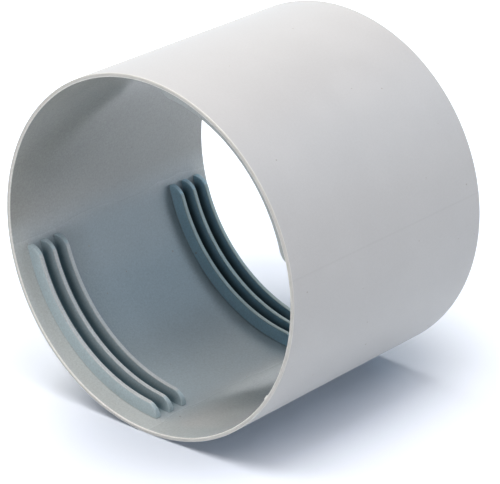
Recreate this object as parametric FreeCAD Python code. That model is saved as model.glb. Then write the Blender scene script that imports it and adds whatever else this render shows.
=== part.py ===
import FreeCAD, Part
import math
import os

# Screw-in sleeve that joins two lengths of 150 mm flexible air hose, moulded in one piece and open at both ends.
# It stands on one rim: Z runs along the bore, and the origin is the centre of the lower rim's plane.
# Sizes are in millimetres. Directions are in degrees, counted anticlockwise from +X as seen from above.

# Plain sleeve
sleeve_length = 122.0
bore_diameter = 152.0
wall_thickness = 1.7
rim_outer_break = 0.5
rim_inner_break = 0.4

# Left-hand thread at each end, broken into two opposite groups of short ridges. The ridges of an end all lie
# on one helix, so its second group sits half a pitch nearer the rim than its first.
thread_pitch = 8.0
ridge_height = 6.0
crest_width = 2.0
flank_slope = 5.0
ridges_per_group = 3
group_directions = (180.0, 360.0)
group_span = 75.0
first_ridge_depth = 10.2
ridge_edge_break = 0.3

# A ridge is swept this much too long, in degrees, and too tall, then trimmed to its plan shape
sweep_end_margin = 3.0
sweep_side_margin = 0.5

# How near two sizes are taken as one, and how flat an edge has to run to count as level
same_size = 1e-6
level_share = 0.5

bore_radius = bore_diameter / 2
outer_radius = bore_radius + wall_thickness
crest_radius = bore_radius - ridge_height
# Ridges start in the middle of the wall, so that wall and ridges are one solid
root_radius = bore_radius + wall_thickness / 2
# Both ends of a ridge are rounded over its whole height
ridge_end_round = ridge_height
# A thread's last flank lies within half a pitch of its last ridge's middle
thread_reach = first_ridge_depth + (ridges_per_group - 0.5) * thread_pitch

left_handed = True
full_turn = 360.0
half_turn = 180.0
up = FreeCAD.Vector(0, 0, 1)
turning_line = FreeCAD.Vector(0, 1, 0)


def polar(radius, direction, z=0.0):
    angle = math.radians(direction)
    return FreeCAD.Vector(radius * math.cos(angle), radius * math.sin(angle), z)


def is_rim(edge, radius):
    if not isinstance(edge.Curve, Part.Circle):
        return False
    z = edge.Curve.Center.z
    return abs(edge.Curve.Radius - radius) < same_size and min(z, sleeve_length - z) < same_size


def bore_core():
    """The bore's form in three stretches: one round each end's thread, and the plain middle."""
    levels = [0.0, thread_reach, sleeve_length - thread_reach, sleeve_length]
    stretches = []
    for low, high in zip(levels, levels[1:]):
        stretches.append(Part.makeCylinder(bore_radius, high - low, up * low))
    return stretches[0].fuse(stretches[1:])


def plain_sleeve():
    """The tube alone, with the edges of both rims broken."""
    tube = Part.makeCylinder(outer_radius, sleeve_length).cut(bore_core())
    outer_edges = [e for e in tube.Edges if is_rim(e, outer_radius)]
    tube = tube.makeChamfer(rim_outer_break, outer_edges)
    inner_edges = [e for e in tube.Edges if is_rim(e, bore_radius)]
    return tube.makeChamfer(rim_inner_break, inner_edges)


def half_width(radius):
    """Half a ridge's thickness along the bore: the flanks spread from the crest to the wall."""
    return crest_width / 2 + (radius - crest_radius) * math.tan(math.radians(flank_slope))


def ridge_section(direction, z):
    """Closed outline across a ridge, on the plane through the bore's axis at that direction."""
    inner = crest_radius - sweep_side_margin
    outer = root_radius + sweep_side_margin
    corners = [
        polar(inner, direction, z - half_width(inner)),
        polar(outer, direction, z - half_width(outer)),
        polar(outer, direction, z + half_width(outer)),
        polar(inner, direction, z + half_width(inner)),
    ]
    return Part.makePolygon(corners + [corners[0]])


def ridge_sweep():
    """A stretch of the left-hand helix, a little longer than a ridge, with its middle at +X and height zero."""
    span = group_span + 2 * sweep_end_margin
    rise = thread_pitch * span / full_turn
    spine = Part.Wire(Part.makeLongHelix(thread_pitch, rise, crest_radius, 0, left_handed).Edges)
    spine.Placement = FreeCAD.Placement(up * (-rise / 2), FreeCAD.Rotation(up, span / 2))
    sweep = Part.BRepOffsetAPI.MakePipeShell(spine)
    sweep.setBiNormalMode(up)
    sweep.add(ridge_section(span / 2, -rise / 2))
    sweep.build()
    sweep.makeSolid()
    return sweep.shape()


def rounded_end(side):
    """One end of a ridge's plan shape: an arc that leaves the crest smoothly and runs into the wall."""
    centre_radius = crest_radius + ridge_end_round
    centre_direction = group_span / 2 - math.degrees(math.asin(ridge_end_round / centre_radius))
    # Law of cosines: the angle at the bore's axis between the arc's centre and its outer end
    squares = centre_radius ** 2 + root_radius ** 2 - ridge_end_round ** 2
    reach = math.degrees(math.acos(squares / (2 * centre_radius * root_radius)))
    centre = polar(centre_radius, side * centre_direction)
    inner = polar(crest_radius, side * centre_direction)
    outer = polar(root_radius, side * (centre_direction + reach))
    outward = (inner - centre) + (outer - centre)
    return Part.Arc(inner, centre + outward.normalize() * ridge_end_round, outer)


def ridge_outline():
    """Plan shape that a ridge is trimmed to: a stretch of a ring with both its ends rounded."""
    first = rounded_end(-1)
    last = rounded_end(1)
    crest = Part.Arc(first.StartPoint, polar(crest_radius, 0), last.StartPoint)
    root = Part.Arc(last.EndPoint, polar(root_radius, 0), first.EndPoint)
    edges = [curve.toShape() for curve in (crest, last, root, first)]
    plate = Part.Face(Part.Wire(edges)).extrude(up * (2 * thread_pitch))
    plate.translate(up * -thread_pitch)
    return plate


def bounds_a_flank(edge):
    """True for the edges that close a flank: along the crest and down its rounded ends, into the wall."""
    level = abs(edge.tangentAt((edge.FirstParameter + edge.LastParameter) / 2).dot(up)) < level_share
    innermost = min(math.hypot(v.X, v.Y) for v in edge.Vertexes)
    return level and innermost < bore_radius


def ridge():
    """The one form that every ridge of the thread is a copy of."""
    trimmed = ridge_sweep().common(ridge_outline()).Solids[0]
    edges = [e for e in trimmed.Edges if bounds_a_flank(e)]
    return trimmed.makeChamfer(ridge_edge_break, edges)


def placed(shape, direction, z):
    copy = shape.copy()
    copy.rotate(FreeCAD.Vector(), up, direction)
    copy.translate(up * z)
    return copy


def lower_thread():
    """The ridges of the lower end. The helix comes nearer the rim as the direction grows."""
    form = ridge()
    ridges = []
    for direction in group_directions:
        depth = first_ridge_depth - thread_pitch * (direction - group_directions[0]) / full_turn
        for turn in range(ridges_per_group):
            ridges.append(placed(form, direction, depth + turn * thread_pitch))
    return ridges


def turned_over(shape):
    """The same form at the other end: half a turn about the Y direction at mid-length."""
    copy = shape.copy()
    copy.rotate(up * (sleeve_length / 2), turning_line, half_turn)
    return copy


def duct_connector():
    lower = lower_thread()
    upper = [turned_over(r) for r in lower]
    return plain_sleeve().fuse(lower + upper)


os.makedirs("parts", exist_ok=True)
part = duct_connector()
solid = part.Solids[0]
print("solids", len(part.Solids), "valid", solid.isValid(), "volume mm3", round(solid.Volume, 1))
solid.exportStep("parts/duct_connector.step")
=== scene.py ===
import bmesh
import bpy
from math import atan2, cos, pi, radians, sin, tan
from mathutils import Matrix, Vector


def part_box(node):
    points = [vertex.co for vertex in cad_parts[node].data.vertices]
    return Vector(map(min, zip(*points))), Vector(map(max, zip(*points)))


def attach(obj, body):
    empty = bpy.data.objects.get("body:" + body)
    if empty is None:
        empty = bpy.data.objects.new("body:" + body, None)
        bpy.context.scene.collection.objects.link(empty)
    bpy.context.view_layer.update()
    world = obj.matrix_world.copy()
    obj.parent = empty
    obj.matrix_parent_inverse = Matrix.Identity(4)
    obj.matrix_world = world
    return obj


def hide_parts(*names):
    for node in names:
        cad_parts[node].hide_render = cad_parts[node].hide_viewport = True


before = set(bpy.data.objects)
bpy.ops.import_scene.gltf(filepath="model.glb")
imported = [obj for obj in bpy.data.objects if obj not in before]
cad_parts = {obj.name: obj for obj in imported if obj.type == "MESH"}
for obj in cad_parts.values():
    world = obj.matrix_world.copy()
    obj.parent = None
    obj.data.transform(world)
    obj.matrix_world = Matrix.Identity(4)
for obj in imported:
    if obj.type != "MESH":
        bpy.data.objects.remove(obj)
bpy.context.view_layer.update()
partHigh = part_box("duct_connector")[1]
outerRadius = partHigh.y
length = partHigh.z
print("frame loaded: radius", round(outerRadius, 4), "length", round(length, 4))


# small helpers

mostly = 0.9                   # share of a normal that has to follow an axis
nearly = 0.99                  # share of a length that counts as its end
tiny = 0.0001
weldDistance = 0.000002


def makeActive(obj):
    bpy.ops.object.select_all(action="DESELECT")
    obj.select_set(True)
    bpy.context.view_layer.objects.active = obj


def startEdit(obj):
    makeActive(obj)
    bpy.ops.object.mode_set(mode="EDIT")
    bpy.ops.mesh.select_all(action="SELECT")


def endEdit():
    bpy.ops.object.mode_set(mode="OBJECT")


def pick(obj, kind, rule):
    # selects the verts, edges or faces for which the rule is true
    bpy.ops.mesh.select_mode(type=kind)
    bpy.ops.mesh.select_all(action="DESELECT")
    mesh = bmesh.from_edit_mesh(obj.data)
    parts = {"VERT": mesh.verts, "EDGE": mesh.edges, "FACE": mesh.faces}[kind]
    for part in [p for p in parts if rule(p)]:
        part.select_set(True)
    mesh.select_flush_mode()
    bmesh.update_edit_mesh(obj.data)


def middle(edge):
    return (edge.verts[0].co + edge.verts[1].co) / 2


def freezePlace(obj):
    makeActive(obj)
    bpy.ops.object.transform_apply(location=True, rotation=True, scale=True)


def applyModifier(obj, kind, **values):
    makeActive(obj)
    bpy.ops.object.modifier_add(type=kind)
    modifier = obj.modifiers[-1]
    for name, value in values.items():
        setattr(modifier, name, value)
    bpy.ops.object.modifier_apply(modifier=modifier.name)


def joinAll(objects, name):
    makeActive(objects[0])
    for obj in objects:
        obj.select_set(True)
    bpy.ops.object.join()
    objects[0].name = name
    return objects[0]


# the plain sleeve: its wall's section, spun round the bore

sleeveValues = {
    "boreRadius": 0.076,
    "outerRound": 0.0005,      # rim edge outside
    "innerRound": 0.00042,     # rim edge inside
    "roundSteps": 4,
    "stepsRound": 288,
    "threadReach": 0.0302,     # the bore gets an extra ring of edges past each thread
}


def makeSleeve():
    v = sleeveValues
    wall = outerRadius - v["boreRadius"]
    middleRadius = (outerRadius + v["boreRadius"]) / 2
    bpy.ops.object.select_all(action="DESELECT")
    bpy.ops.mesh.primitive_plane_add(size=1, location=(middleRadius, 0, length / 2), rotation=(pi / 2, 0, 0))
    obj = bpy.context.object
    obj.scale = (wall, length, 1)
    freezePlace(obj)
    startEdit(obj)
    pick(obj, "VERT", lambda p: p.co.x > middleRadius)
    bpy.ops.mesh.bevel(offset=v["outerRound"], segments=v["roundSteps"], affect="VERTICES")
    corner = v["boreRadius"] + v["innerRound"] / 10
    pick(obj, "VERT", lambda p: p.co.x < corner)
    bpy.ops.mesh.bevel(offset=v["innerRound"], segments=v["roundSteps"], affect="VERTICES")
    bpy.ops.mesh.select_all(action="SELECT")
    bpy.ops.mesh.delete(type="ONLY_FACE")
    bpy.ops.mesh.select_all(action="SELECT")
    bpy.ops.mesh.spin(steps=v["stepsRound"], angle=2 * pi, center=(0, 0, 0), axis=(0, 0, 1))
    bpy.ops.mesh.select_all(action="SELECT")
    bpy.ops.mesh.remove_doubles(threshold=weldDistance)
    for height in (v["threadReach"], length - v["threadReach"]):
        bpy.ops.mesh.select_all(action="SELECT")
        bpy.ops.mesh.bisect(plane_co=(0, 0, height), plane_no=(0, 0, 1))
    bpy.ops.mesh.select_all(action="SELECT")
    bpy.ops.mesh.normals_make_consistent(inside=False)
    endEdit()
    obj.name = "sleeve"
    print("sleeve:", len(obj.data.polygons), "faces")
    return obj


# one thread ridge: a straight bar, shaped, then bent into its stretch of the thread

ridgeValues = {
    "crestRadius": 0.070,
    "rootSink": 0.0009,        # how deep the foot goes into the wall
    "crestWidth": 0.002,
    "flankSlope": 5,
    "span": 75,
    "endRound": 0.006,         # the ends are rounded over the whole height
    "endSteps": 14,
    "edgeRound": 0.00035,
    "edgeSteps": 3,
    "pitch": 0.008,
    "slices": 60,              # cuts along the bar, so that it bends smoothly
}


def makeRidge():
    v = ridgeValues
    depth = sleeveValues["boreRadius"] + v["rootSink"] - v["crestRadius"]
    barLength = v["crestRadius"] * radians(v["span"])
    footWidth = v["crestWidth"] + 2 * depth * tan(radians(v["flankSlope"]))
    bpy.ops.object.select_all(action="DESELECT")
    bpy.ops.mesh.primitive_cube_add(size=1, location=(0, -depth / 2, 0))
    obj = bpy.context.object
    obj.scale = (barLength, depth, v["crestWidth"])
    freezePlace(obj)
    startEdit(obj)

    # the foot is wider than the crest
    pick(obj, "FACE", lambda p: p.normal.y < -mostly)
    bpy.ops.transform.resize(value=(1, 1, footWidth / v["crestWidth"]))

    # round the two ends, from the crest down
    endX = barLength / 2 * nearly
    pick(obj, "EDGE", lambda p: abs(middle(p).x) > endX and middle(p).y > -tiny)
    bpy.ops.mesh.bevel(offset=v["endRound"], segments=v["endSteps"], affect="EDGES")

    # ease the edges of both flanks, down to the foot
    def boundsFlank(edge):
        sides = [abs(face.normal.z) > mostly for face in edge.link_faces]
        atFoot = all(q.co.y < -depth * nearly for q in edge.verts)
        return sides.count(True) == 1 and not atFoot
    pick(obj, "EDGE", boundsFlank)
    bpy.ops.mesh.bevel(offset=v["edgeRound"], segments=v["edgeSteps"], affect="EDGES")

    # slices along the bar
    straight = barLength / 2 - v["endRound"]
    for n in range(v["slices"] + 1):
        bpy.ops.mesh.select_all(action="SELECT")
        x = straight * (2 * n / v["slices"] - 1)
        bpy.ops.mesh.bisect(plane_co=(x, 0, 0), plane_no=(1, 0, 0))
    bpy.ops.mesh.select_all(action="SELECT")
    bpy.ops.mesh.normals_make_consistent(inside=False)
    endEdit()

    # lean the bar by the thread's lead, bend it and set it on the bore
    obj.rotation_euler.y = atan2(v["pitch"], 2 * pi * v["crestRadius"])
    freezePlace(obj)
    reach = obj.dimensions.x
    applyModifier(obj, "SIMPLE_DEFORM", deform_method="BEND", deform_axis="Z", angle=reach / v["crestRadius"])
    obj.location.y = -v["crestRadius"]
    freezePlace(obj)
    obj.name = "ridge"
    print("ridge:", len(obj.data.polygons), "faces")
    return obj


# the thread: ridges in two opposite groups at each end, all on one left-hand helix

threadValues = {
    "groups": (180, 360),      # directions of their middles
    "ridges": 3,
    "firstDepth": 0.0102,
}


def makeThread(ridge):
    v = threadValues
    pitch = ridgeValues["pitch"]
    midHeight = Matrix.Translation((0, 0, length / 2))
    turnedOver = midHeight @ Matrix.Rotation(pi, 4, "Y") @ midHeight.inverted()
    ridges = []
    for end in (Matrix.Identity(4), turnedOver):
        for direction in v["groups"]:
            depth = v["firstDepth"] - pitch * (direction - v["groups"][0]) / 360
            for n in range(v["ridges"]):
                copy = ridge.copy()
                copy.data = ridge.data.copy()
                bpy.context.collection.objects.link(copy)
                turn = Matrix.Rotation(radians(direction + 90), 4, "Z")
                copy.matrix_world = end @ Matrix.Translation((0, 0, depth + n * pitch)) @ turn
                freezePlace(copy)
                ridges.append(copy)
    bpy.data.objects.remove(ridge, do_unlink=True)
    print("thread:", len(ridges), "ridges")
    return joinAll(ridges, "thread")


# a small nib that the mould left on the lower rim's inner edge

nibValues = {
    "direction": 83,
    "radius": 0.07605,         # of its middle
    "size": (0.0010, 0.0026, 0.0016),
    "lift": 0.0001,            # above the rim's plane
    "round": 0.00035,
    "roundSteps": 3,
}


def makeNib():
    v = nibValues
    bpy.ops.object.select_all(action="DESELECT")
    bpy.ops.mesh.primitive_cube_add(size=1, location=(v["radius"], 0, v["size"][2] / 2 + v["lift"]))
    obj = bpy.context.object
    obj.scale = v["size"]
    freezePlace(obj)
    startEdit(obj)
    bpy.ops.mesh.bevel(offset=v["round"], segments=v["roundSteps"], affect="EDGES")
    endEdit()
    obj.rotation_euler.z = radians(v["direction"])
    freezePlace(obj)
    obj.name = "nib"
    return obj


# the whole moulding: sleeve, thread and nib made one mesh

connectorValues = {
    "smoothAngle": 40,
    "normalWeight": 50,
}


def makeConnector():
    v = connectorValues
    sleeve = makeSleeve()
    for addition in (makeThread(makeRidge()), makeNib()):
        applyModifier(sleeve, "BOOLEAN", operation="UNION", solver="EXACT", object=addition)
        bpy.data.objects.remove(addition, do_unlink=True)
    startEdit(sleeve)
    bpy.ops.mesh.remove_doubles(threshold=weldDistance)
    endEdit()
    makeActive(sleeve)
    bpy.ops.object.shade_smooth_by_angle(angle=radians(v["smoothAngle"]))
    applyModifier(sleeve, "WEIGHTED_NORMAL", keep_sharp=True, weight=v["normalWeight"])
    sleeve.name = "moulded_sleeve"
    print("connector:", len(sleeve.data.polygons), "faces")
    return sleeve


# light grey moulded plastic: satin outside, smoother inside, with the faint lines that the mould left, and
# light and shade painted into its colour by place.
# A pair of radii, depths, turns or sines gives the two ends of a soft change; turns count along the thread
# from an end's first ridge, and sines are those of the direction round the sleeve.

plasticValues = {
    "outsideColour": (0.446, 0.463, 0.484, 1),
    # painted light: the rims' faces, lighter than the outside
    "litRimColour": (0.60, 0.615, 0.61, 1),
    "rimEdgeHighlightColour": (0.85, 0.87, 0.86, 1),         # painted highlight on the rims' inner edges
    "shadedInsideColour": (0.40, 0.418, 0.413, 1),        # painted shade: the bore's first plain stretch, darker
    "litInsideColour": (0.53, 0.55, 0.55, 1),       # painted light: its second one, lighter, near the rims
    "middleShadeColour": (0.36, 0.39, 0.40, 1),          # and halfway along, a painted shade
    "bandShadeColour": (0.345, 0.43, 0.485, 1),          # painted shade, darker and bluer: the two stretches of the bore that carry ridges
    "litStripColour": (0.49, 0.535, 0.545, 1),         # painted light: between a rim and the first ridge
    # painted shade, bluish, on the lower ridges, and a painted highlight on their crests
    "ridgeShadeColour": (0.47, 0.59, 0.65, 1),
    "crestHighlightColour": (0.555, 0.605, 0.635, 1),
    # painted shade, bluish, on the upper ridges, darker on their crests
    "upperRidgeShadeColour": (0.36, 0.56, 0.68, 1),
    "upperCrestShadeColour": (0.30, 0.42, 0.44, 1),
    "farRidgeColour": (0.385, 0.435, 0.455, 1),     # the groups that face away in the picture
    "grooveShadeColour": (0.09, 0.155, 0.19, 1),         # painted shade at the foot between two ridges
    "upperGrooveShadeColour": (0.04, 0.065, 0.075, 1),
    "fleckColour": (0.3, 0.3, 0.29, 1),

    "boreReach": 0.0763,           # the bore's skin ends here, in the rim's inner edge
    "bandSpan": 81.5,              # degrees
    "bandBlend": 9,                # degrees over which the tint changes
    "ridgeRadii": (0.0754, 0.0759),
    "crestRadii": (0.0701, 0.0706),
    "rimRadii": (0.0763, 0.0765),
    "rimDepths": (0.00045, 0.0006),
    "middleShadeDepths": (0.025, 0.058),
    "plainSines": (-0.75, -0.6),
    "stripTurns": (-0.4, 0.5),

    "grooveStart": (0, 0.1),       # in turns
    "grooveEnd": (1.9, 2),
    "grooveAway": (0.57, 0.66),    # from the middle of the group, in radians
    "grooveRadii": (0.0702, 0.0752),
    "besideStart": 2.05,           # the bore gets darker beside the last ridge, from here on
    "besideReach": 5,
    "besideShade": 0.34,
    "besideSines": (-0.1, 0.5),
    "besideAway": (0.57, 0.72),
    "upperBesideReach": 3.1,
    "upperBesideShade": 0.22,

    "roughOutside": 0.42,
    "roughInside": 0.16,
    "roughBand": 0.34,
    "specular": 0.8,
    "grainSize": 0.0008,
    "grainDepth": 0.000012,
    "grainTone": 0.1,              # how much the grain shows as light and dark
    "grainToneInside": 0.42,
    "drawSpacing": 0.0009,         # marks along the bore, from drawing the core
    "drawStretch": 12,             # how many of them follow each other in a metre
    "drawDepth": 0.000007,
    "patchScale": 35,              # large soft patches
    "patchLevels": (0.3, 0.7),     # the noise values that count as their darkest and lightest
    "patchTone": 0.02,
    "patchRough": 0.02,
    "lineWidth": 0.0008,           # the mould's parting lines
    "lineDepth": 0.000007,
    "lineTone": 0.955,
    "insideLineShare": 0.4,        # how much of the line shows in the bore
    "outsideLines": (41, 221),     # directions
    "fleckSpacing": 0.008,
    "fleckSize": 0.0005,
}


def addValue(tree, value, socket):
    # links a socket, or sets a plain number or colour
    if hasattr(value, "is_output"):
        tree.links.new(value, socket)
    else:
        socket.default_value = value


def addMath(tree, operation, *inputs):
    node = tree.nodes.new("ShaderNodeMath")
    node.operation = operation
    for n, value in enumerate(inputs):
        addValue(tree, value, node.inputs[n])
    return node.outputs[0]


def addProduct(tree, first, *others):
    # all of them multiplied
    for value in others:
        first = addMath(tree, "MULTIPLY", first, value)
    return first


def addNoise(tree, vector, scale, detail):
    node = tree.nodes.new("ShaderNodeTexNoise")
    node.inputs["Scale"].default_value = scale
    node.inputs["Detail"].default_value = detail
    tree.links.new(vector, node.inputs["Vector"])
    return node.outputs["Fac"]


def addRange(tree, value, fromLow, fromHigh, toLow, toHigh, kind="SMOOTHSTEP"):
    node = tree.nodes.new("ShaderNodeMapRange")
    node.interpolation_type = kind
    for n, number in enumerate((fromLow, fromHigh, toLow, toHigh)):
        node.inputs[n + 1].default_value = number
    tree.links.new(value, node.inputs[0])
    return node.outputs[0]


def addMix(tree, factor, first, second):
    # a colour mix; first and second are colours or sockets
    node = tree.nodes.new("ShaderNodeMix")
    node.data_type = "RGBA"
    tree.links.new(factor, node.inputs["Factor"])
    for value, name in ((first, "A"), (second, "B")):
        addValue(tree, value, [i for i in node.inputs if i.type == "RGBA" and i.name == name][0])
    return [o for o in node.outputs if o.type == "RGBA"][0]


def addGroup(tree, group, **inputs):
    node = tree.nodes.new("ShaderNodeGroup")
    node.node_tree = group
    for name, value in inputs.items():
        addValue(tree, value, node.inputs[name])
    return node.outputs


def newGroup(name, inputs, outputs):
    group = bpy.data.node_groups.new(name, "ShaderNodeTree")
    for socket in inputs:
        group.interface.new_socket(socket, in_out="INPUT", socket_type="NodeSocketFloat")
    for socket in outputs:
        group.interface.new_socket(socket, in_out="OUTPUT", socket_type="NodeSocketFloat")
    return group, group.nodes.new("NodeGroupInput").outputs, group.nodes.new("NodeGroupOutput").inputs


def makePlaceGroup():
    # where a point of the sleeve lies: its direction, radius and height, and 1 in the bore or 0 outside
    group, given, result = newGroup("placeOnSleeve", (), ("Direction", "Radius", "Height", "Inside"))
    coordinates = group.nodes.new("ShaderNodeTexCoord")
    split = group.nodes.new("ShaderNodeSeparateXYZ")
    group.links.new(coordinates.outputs["Object"], split.inputs[0])
    x, y, z = split.outputs
    square = addMath(group, "ADD", addMath(group, "MULTIPLY", x, x), addMath(group, "MULTIPLY", y, y))
    radius = addMath(group, "SQRT", square)
    inside = addMath(group, "LESS_THAN", radius, plasticValues["boreReach"])
    group.links.new(addMath(group, "ARCTAN2", y, x), result["Direction"])
    group.links.new(radius, result["Radius"])
    group.links.new(z, result["Height"])
    group.links.new(inside, result["Inside"])
    return group


def makeThreadPlaceGroup():
    # where a point lies in the nearer end's thread: how many turns past the first ridge, how far round
    # from the middle of its group, 1 at the upper end, and how deep in from the rim
    outputs = ("Turns", "Away", "Upper", "Depth")
    group, given, result = newGroup("placeInThread", ("Direction", "Height"), outputs)
    pitch = ridgeValues["pitch"]
    isUpper = addMath(group, "GREATER_THAN", given["Height"], length / 2)
    depth = addMath(group, "PINGPONG", given["Height"], length / 2)

    # the upper end is the lower one turned over
    mirror = addMath(group, "SUBTRACT", 1, addMath(group, "MULTIPLY", isUpper, 2))
    halfTurn = addMath(group, "MULTIPLY", isUpper, pi)
    direction = addMath(group, "MULTIPLY_ADD", given["Direction"], mirror, halfTurn)
    offset = addMath(group, "WRAP", direction, pi / 2, -pi / 2)

    # the second group sits half a pitch nearer the rim
    isSecond = addMath(group, "GREATER_THAN", addMath(group, "COSINE", direction), 0)
    first = addMath(group, "MULTIPLY_ADD", isSecond, -pitch / 2, threadValues["firstDepth"])
    first = addMath(group, "MULTIPLY_ADD", offset, -pitch / (2 * pi), first)
    turns = addMath(group, "DIVIDE", addMath(group, "SUBTRACT", depth, first), pitch)
    group.links.new(turns, result["Turns"])
    group.links.new(addMath(group, "ABSOLUTE", offset), result["Away"])
    group.links.new(isUpper, result["Upper"])
    group.links.new(depth, result["Depth"])
    return group


def makeLineGroup():
    # a soft line along the bore, at an angle off the given one: 1 on the line, 0 beside it
    group, given, result = newGroup("mouldLine", ("Off", "Radius", "Width"), ("Mask",))
    away = addMath(group, "MULTIPLY", addMath(group, "ABSOLUTE", given["Off"]), given["Radius"])
    share = addMath(group, "DIVIDE", away, given["Width"])
    group.links.new(addRange(group, share, 0, 1, 1, 0), result["Mask"])
    return group


def markSkin(tree):
    # masks over the skin's parts, 1 on a part and 0 off it
    v = plasticValues
    place = addGroup(tree, makePlaceGroup())
    direction, radius, inside = place["Direction"], place["Radius"], place["Inside"]
    thread = addGroup(tree, makeThreadPlaceGroup(), Direction=direction, Height=place["Height"])
    turns, away, upper, depth = thread["Turns"], thread["Away"], thread["Upper"], thread["Depth"]
    sine = addMath(tree, "SINE", direction)
    halfBand, blend = radians(v["bandSpan"] / 2), radians(v["bandBlend"])
    marks = {
        "inside": inside,
        "outside": addMath(tree, "SUBTRACT", 1, inside),
        "upper": upper,
        "band": addRange(tree, away, halfBand - blend, halfBand + blend, 1, 0),
        "ridge": addRange(tree, radius, *v["ridgeRadii"], 1, 0),
        "crest": addRange(tree, radius, *v["crestRadii"], 1, 0),
        "rim": addRange(tree, depth, *v["rimDepths"], 1, 0),
        "rimFlat": addRange(tree, radius, *v["rimRadii"], 0, 1),
        "plainTwo": addRange(tree, sine, *v["plainSines"], 0, 1),
        "middle": addRange(tree, depth, *v["middleShadeDepths"], 0, 1),
        "farSide": addMath(tree, "GREATER_THAN", addMath(tree, "COSINE", direction), 0),
    }
    marks["strip"] = addProduct(tree, addRange(tree, turns, *v["stripTurns"], 1, 0), marks["plainTwo"])

    # between two ridges less light comes to the foot than to the crest
    marks["groove"] = addProduct(
        tree, addRange(tree, turns, *v["grooveStart"], 0, 1), addRange(tree, turns, *v["grooveEnd"], 1, 0),
        addRange(tree, away, *v["grooveAway"], 1, 0), addRange(tree, radius, *v["grooveRadii"], 0, 1), inside)

    # beside the last ridge of a group the bore gets darker: below zero there, 0 elsewhere
    start = v["besideStart"]
    lowerShade = addProduct(
        tree, addRange(tree, turns, start, v["besideReach"], 1, 0),
        addRange(tree, sine, *v["besideSines"], -v["besideShade"], 0), addMath(tree, "SUBTRACT", 1, upper))
    upperShade = addRange(tree, turns, start, v["upperBesideReach"], -v["upperBesideShade"], 0)
    marks["besideShade"] = addProduct(
        tree, addMath(tree, "MULTIPLY_ADD", upperShade, upper, lowerShade),
        addMath(tree, "GREATER_THAN", turns, start), addRange(tree, away, *v["besideAway"], 1, 0),
        addMath(tree, "SUBTRACT", inside, marks["ridge"]))

    # the mould's lines: beside each ridged stretch of the bore, and two along the outside
    lineGroup = makeLineGroup()
    offBand = addMath(tree, "SUBTRACT", away, halfBand)
    edge = addGroup(tree, lineGroup, Off=offBand, Radius=radius, Width=v["lineWidth"])["Mask"]
    lines = addProduct(tree, edge, inside, v["insideLineShare"])
    for angle in v["outsideLines"]:
        off = addMath(tree, "WRAP", addMath(tree, "SUBTRACT", direction, radians(angle)), pi, -pi)
        seam = addGroup(tree, lineGroup, Off=off, Radius=radius, Width=v["lineWidth"])["Mask"]
        lines = addMath(tree, "MULTIPLY_ADD", seam, marks["outside"], lines)
    marks["lines"] = lines
    return marks


def addRelief(tree, coordinates, grain, marks):
    # fine grain everywhere, marks along the bore inside, and the mould's lines
    v = plasticValues
    stretch = tree.nodes.new("ShaderNodeMapping")
    stretch.inputs["Scale"].default_value = (1 / v["drawSpacing"], 1 / v["drawSpacing"], v["drawStretch"])
    tree.links.new(coordinates, stretch.inputs["Vector"])
    drawMarks = addProduct(tree, addNoise(tree, stretch.outputs["Vector"], 1, 1), marks["inside"])
    relief = addMath(tree, "ADD", addMath(tree, "MULTIPLY", grain, v["grainDepth"]),
                     addMath(tree, "MULTIPLY", drawMarks, v["drawDepth"]))
    relief = addMath(tree, "MULTIPLY_ADD", marks["lines"], v["lineDepth"], relief)
    bump = tree.nodes.new("ShaderNodeBump")
    bump.inputs["Distance"].default_value = 1
    tree.links.new(relief, bump.inputs["Height"])
    return bump.outputs["Normal"]


def addSkinColour(tree, marks):
    # the tint of each part of the skin: the outside's own grey, and painted light and shade in the bore and
    # on the rims
    v = plasticValues
    plainTwo = addMix(tree, marks["middle"], v["litInsideColour"], v["middleShadeColour"])
    colour = addMix(tree, marks["plainTwo"], v["shadedInsideColour"], plainTwo)
    colour = addMix(tree, marks["band"], colour, v["bandShadeColour"])
    colour = addMix(tree, marks["strip"], colour, v["litStripColour"])
    lowerRidge = addMix(tree, marks["crest"], v["ridgeShadeColour"], v["crestHighlightColour"])
    upperRidge = addMix(tree, marks["crest"], v["upperRidgeShadeColour"], v["upperCrestShadeColour"])
    ridge = addMix(tree, marks["upper"], lowerRidge, upperRidge)
    ridge = addMix(tree, marks["farSide"], ridge, v["farRidgeColour"])
    colour = addMix(tree, marks["ridge"], colour, ridge)
    groove = addMix(tree, marks["upper"], v["grooveShadeColour"], v["upperGrooveShadeColour"])
    colour = addMix(tree, marks["groove"], colour, groove)
    colour = addMix(tree, marks["inside"], v["outsideColour"], colour)
    # the rims: painted light on their faces, a painted highlight on their inner edges
    rim = addMix(tree, marks["rimFlat"], v["rimEdgeHighlightColour"], v["litRimColour"])
    return addMix(tree, marks["rim"], colour, rim)


def addFlecks(tree, coordinates, colour):
    # a few small dark flecks, each in a cell of its own
    v = plasticValues
    cells = tree.nodes.new("ShaderNodeTexVoronoi")
    cells.inputs["Scale"].default_value = 1 / v["fleckSpacing"]
    tree.links.new(coordinates, cells.inputs["Vector"])
    chosen = tree.nodes.new("ShaderNodeSeparateColor")
    tree.links.new(cells.outputs["Color"], chosen.inputs[0])
    reach = addMath(tree, "MULTIPLY", chosen.outputs[0], v["fleckSize"] / v["fleckSpacing"])
    fleck = addMath(tree, "LESS_THAN", cells.outputs["Distance"], reach)
    return addMix(tree, fleck, colour, v["fleckColour"])


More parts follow.
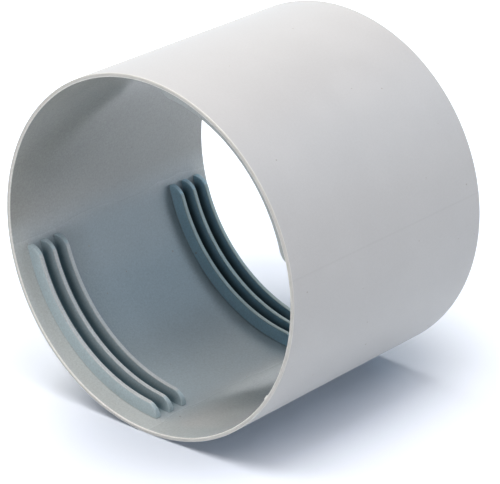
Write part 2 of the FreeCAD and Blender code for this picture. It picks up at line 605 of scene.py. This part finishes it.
def makePlastic():
    v = plasticValues
    material = bpy.data.materials.new("grey_plastic")
    material.use_nodes = True
    tree = material.node_tree
    shader = tree.nodes["Principled BSDF"]
    coordinates = tree.nodes.new("ShaderNodeTexCoord").outputs["Object"]
    marks = markSkin(tree)
    grain = addNoise(tree, coordinates, 1 / v["grainSize"], 2)
    patches = addNoise(tree, coordinates, v["patchScale"], 2)

    # colour, softly uneven, and lighter and darker with the grain
    grainTone = addRange(tree, marks["inside"], 0, 1, v["grainTone"], v["grainToneInside"])
    level = addProduct(
        tree, addRange(tree, patches, *v["patchLevels"], 1 - v["patchTone"], 1 + v["patchTone"]),
        addMath(tree, "MULTIPLY_ADD", addMath(tree, "SUBTRACT", grain, 0.5), grainTone, 1),
        addRange(tree, marks["lines"], 0, 1, 1, v["lineTone"]),
        addMath(tree, "ADD", marks["besideShade"], 1))
    shade = tree.nodes.new("ShaderNodeVectorMath")
    shade.operation = "SCALE"
    tree.links.new(addSkinColour(tree, marks), shade.inputs[0])
    tree.links.new(level, shade.inputs["Scale"])
    tree.links.new(addFlecks(tree, coordinates, shade.outputs["Vector"]), shader.inputs["Base Color"])

    # gloss
    rough = addRange(tree, marks["band"], 0, 1, v["roughInside"], v["roughBand"])
    rough = addMath(tree, "MULTIPLY", rough, marks["inside"])
    rough = addMath(tree, "MULTIPLY_ADD", marks["outside"], v["roughOutside"], rough)
    patchRough = addRange(tree, patches, *v["patchLevels"], -v["patchRough"], v["patchRough"])
    rough = addMath(tree, "ADD", rough, patchRough)
    tree.links.new(rough, shader.inputs["Roughness"])
    shader.inputs["Specular IOR Level"].default_value = v["specular"]
    tree.links.new(addRelief(tree, coordinates, grain, marks), shader.inputs["Normal"])
    return material


# stage: the pale floor that the sleeve lies on in the picture, the sky, the lamps and the camera

stageValues = {
    "contact": 140,                        # direction of the line that the sleeve lies on
    "floorSize": 3.0,
    "floorColour": (0.87, 0.905, 0.93, 1),
    "seenColour": (0.70, 0.78, 0.90, 1),   # the same floor as it is seen
    "floorLift": (0.0, 0.34),              # plain white that is seen but gives no light, from the sleeve out
    "liftReach": (0.036, 0.085),
    "liftCentre": (0.01, 0, 0),
    "liftStretch": 0.6,                    # along the sleeve
    "farLift": (0.0, 0.8),                 # more of it, where the lamps no longer reach
    "farReach": (0.12, 0.5),
    "throughPlace": (-0.055, 0.09, 0),     # a painted shadow on the spot of floor that shows through the bore
    "throughReach": (0.02, 0.065),
    "throughShare": 0.4,
}


def addSeenMask(tree):
    # 1 for what the camera, a reflection or glass shows, 0 for what only lights the sleeve
    path = tree.nodes.new("ShaderNodeLightPath").outputs
    seen = addMath(tree, "MAXIMUM", path["Is Camera Ray"], path["Is Glossy Ray"])
    return addMath(tree, "MAXIMUM", seen, path["Is Transmission Ray"])


def makeFloorMaterial():
    v = stageValues
    material = bpy.data.materials.new("pale_floor")
    material.use_nodes = True
    tree = material.node_tree
    nodes, links = tree.nodes, tree.links
    nodes.clear()

    # how much white is added, by the distance from the sleeve: little near it, which leaves a painted shade
    # round the sleeve, and less over the spot that shows through the bore, a painted shadow
    onFloor = nodes.new("ShaderNodeTexCoord").outputs["Object"]
    flat = nodes.new("ShaderNodeMapping")
    flat.vector_type = "TEXTURE"
    flat.inputs["Location"].default_value = v["liftCentre"]
    flat.inputs["Scale"].default_value = (1, 1 / v["liftStretch"], 1)
    distance = nodes.new("ShaderNodeVectorMath")
    distance.operation = "LENGTH"
    through = nodes.new("ShaderNodeVectorMath")
    through.operation = "DISTANCE"
    through.inputs[1].default_value = v["throughPlace"]
    links.new(onFloor, flat.inputs["Vector"])
    links.new(flat.outputs["Vector"], distance.inputs[0])
    links.new(onFloor, through.inputs[0])
    near = addRange(tree, distance.outputs["Value"], *v["liftReach"], *v["floorLift"])
    far = addRange(tree, distance.outputs["Value"], *v["farReach"], *v["farLift"], kind="LINEAR")
    share = addRange(tree, through.outputs["Value"], *v["throughReach"], v["throughShare"], 1)
    lift = addMath(tree, "MULTIPLY_ADD", near, share, far)

    seen = addSeenMask(tree)
    diffuse = nodes.new("ShaderNodeBsdfDiffuse")
    white = nodes.new("ShaderNodeEmission")
    pale = nodes.new("ShaderNodeAddShader")
    links.new(addMix(tree, seen, v["floorColour"], v["seenColour"]), diffuse.inputs["Color"])
    links.new(addMath(tree, "MULTIPLY", seen, lift), white.inputs["Strength"])
    links.new(diffuse.outputs["BSDF"], pale.inputs[0])
    links.new(white.outputs["Emission"], pale.inputs[1])

    # clear from below, and for the light of the lamp under it
    path = nodes.new("ShaderNodeLightPath")
    geometry = nodes.new("ShaderNodeNewGeometry")
    clear = nodes.new("ShaderNodeBsdfTransparent")
    mix = nodes.new("ShaderNodeMixShader")
    output = nodes.new("ShaderNodeOutputMaterial")
    isClear = addMath(tree, "MAXIMUM", geometry.outputs["Backfacing"], path.outputs["Is Shadow Ray"])
    links.new(isClear, mix.inputs["Fac"])
    links.new(pale.outputs["Shader"], mix.inputs[1])
    links.new(clear.outputs["BSDF"], mix.inputs[2])
    links.new(mix.outputs["Shader"], output.inputs["Surface"])
    return material


def makeFloor():
    v = stageValues
    out = radians(v["contact"])
    place = Vector((cos(out), sin(out), 0)) * outerRadius + Vector((0, 0, length / 2))
    bpy.ops.object.select_all(action="DESELECT")
    bpy.ops.mesh.primitive_plane_add(size=v["floorSize"], location=place, rotation=(pi / 2, 0, out - pi / 2))
    floor = bpy.context.object
    floor.name = "floor"
    floor.data.materials.append(makeFloorMaterial())


def makeSky():
    # white to look at, with no light of its own
    world = bpy.data.worlds.new("sky")
    bpy.context.scene.world = world
    world.use_nodes = True
    tree = world.node_tree
    tree.nodes.clear()
    white = tree.nodes.new("ShaderNodeBackground")
    white.inputs["Color"].default_value = (1, 1, 1, 1)
    output = tree.nodes.new("ShaderNodeOutputWorld")
    tree.links.new(addSeenMask(tree), white.inputs["Strength"])
    tree.links.new(white.outputs["Background"], output.inputs["Surface"])


# the lamps stand in a ring round the sleeve: bearing counts from its right side as the camera sees it,
# towards the back, and height is above the floor, both in degrees
lampValues = {
    # bearing, height, distance, size, power, colour
    "overhead": (270, 86, 1.3, 1.0, 12.3, (1.0, 0.95, 0.91)),
    "topLeft": (225, 60, 1.3, 0.8, 6.5, (1.0, 0.94, 0.87)),
    "topRight": (0, 60, 1.3, 0.8, 4.8, (1.0, 0.89, 0.82)),
    "topFront": (315, 60, 1.3, 0.8, 3.2, (1.0, 0.89, 0.87)),
    "back": (60, 32, 1.3, 0.8, 1.7, (0.48, 0.75, 1.0)),
    "backLeft": (120, 32, 1.3, 0.8, 1.2, (1.0, 0.98, 0.91)),
    "lowBack": (45, 10, 1.2, 0.5, 0.8, (0.79, 0.88, 1.0)),
    "lowLeft": (135, 10, 1.2, 0.5, 0.6, (0.83, 0.93, 1.0)),
    "lowRight": (10, 10, 1.2, 0.5, 0.5, (1.0, 0.96, 0.92)),
    "underFloor": (0, -90, 1.2, 1.0, 4.5, (1.0, 1.0, 1.0)),
}


def makeLamps():
    out = radians(stageValues["contact"])
    up = Vector((-cos(out), -sin(out), 0))     # the floor's upward normal
    back = Vector((0, 0, 1))
    right = back.cross(up)
    middle = Vector((0, 0, length / 2))
    for name, (bearing, height, distance, size, power, colour) in lampValues.items():
        flat = right * cos(radians(bearing)) + back * sin(radians(bearing))
        way = flat * cos(radians(height)) + up * sin(radians(height))
        bpy.ops.object.select_all(action="DESELECT")
        bpy.ops.object.light_add(type="AREA", location=middle + way * distance)
        lamp = bpy.context.object
        lamp.name = name + "Lamp"
        lamp.data.size = size
        lamp.data.energy = power
        lamp.data.color = colour
        lamp.rotation_euler = way.to_track_quat("Z", "Y").to_euler()


cameraValues = {
    "place": (0.79706, 0.25352, -0.76725),     # fitted to the picture's outline and rims
    "turn": (157.127, -40.305, 50.0),
    "lens": 203.25,
    "sensor": 36,
    "clipStart": 0.01,
}


def makeCamera():
    v = cameraValues
    bpy.ops.object.select_all(action="DESELECT")
    bpy.ops.object.camera_add(location=v["place"], rotation=[radians(a) for a in v["turn"]])
    camera = bpy.context.object
    camera.name = "camera"
    camera.data.lens = v["lens"]
    camera.data.sensor_width = v["sensor"]
    camera.data.clip_start = v["clipStart"]
    bpy.context.scene.camera = camera


makeCamera()
makeFloor()
makeSky()
makeLamps()
print("stage ready")

connector = makeConnector()
connector.data.materials.clear()
connector.data.materials.append(makePlastic())
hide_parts("duct_connector")
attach(connector, "root")
print("finishes ready")

bpy.context.scene.view_settings.view_transform = "Standard"
